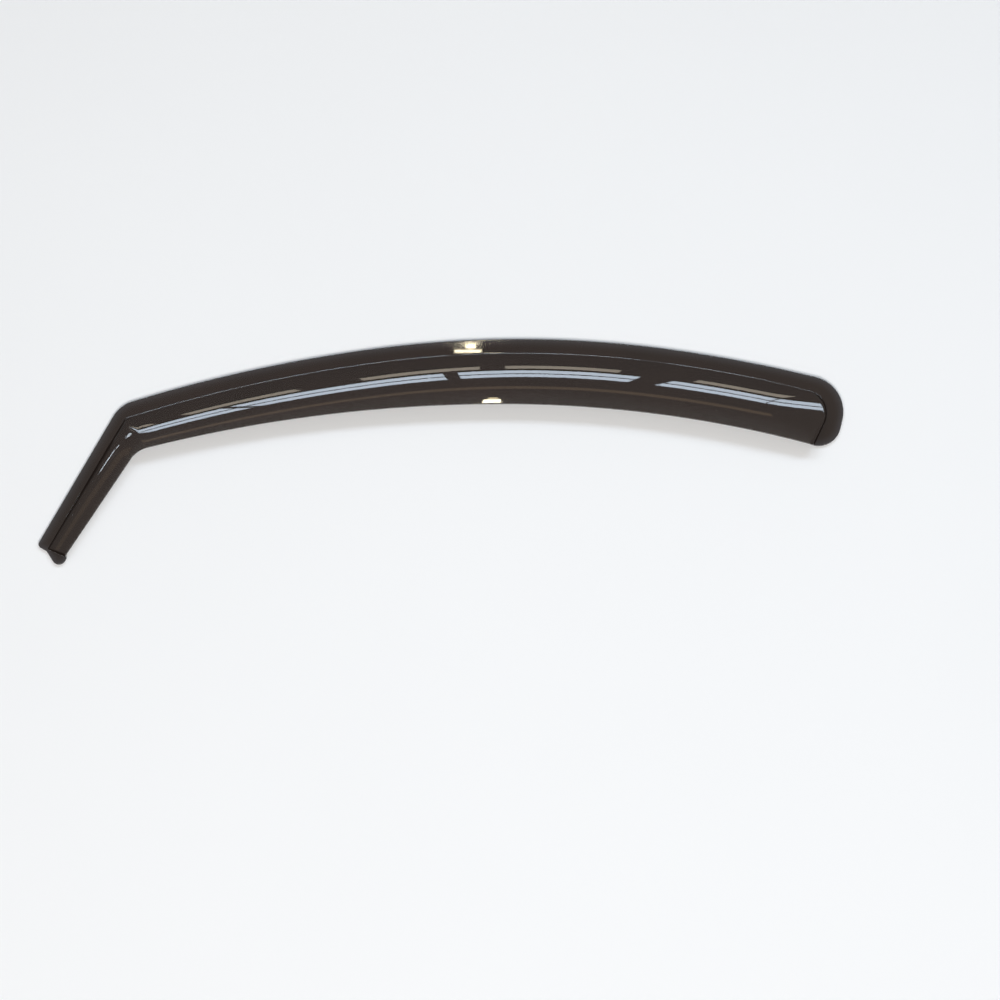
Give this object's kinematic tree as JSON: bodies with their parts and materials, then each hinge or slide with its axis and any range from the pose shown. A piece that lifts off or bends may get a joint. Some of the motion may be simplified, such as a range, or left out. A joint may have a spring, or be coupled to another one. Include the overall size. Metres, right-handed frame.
{
  "type": "window rain deflector",
  "caption": "In-channel rain deflector for a car's left front window, one formed sheet of dark smoked acrylic with a flat flange, a bulged visor, closed ends and a short leg down the pillar",
  "frame": {"origin": "Under the middle of the part's plan, on the plane of the flange's back", "axes": "X runs along the car towards the rear, Y up the window, Z out from the glass"},
  "size_m": [0.805, 0.2258, 0.0195],
  "materials": {
    "smoked_acrylic": "polished, see-through dark smoke tint"
  },
  "bodies": {
    "root": {"deflector": "smoked_acrylic"}
  },
  "joints": []
}
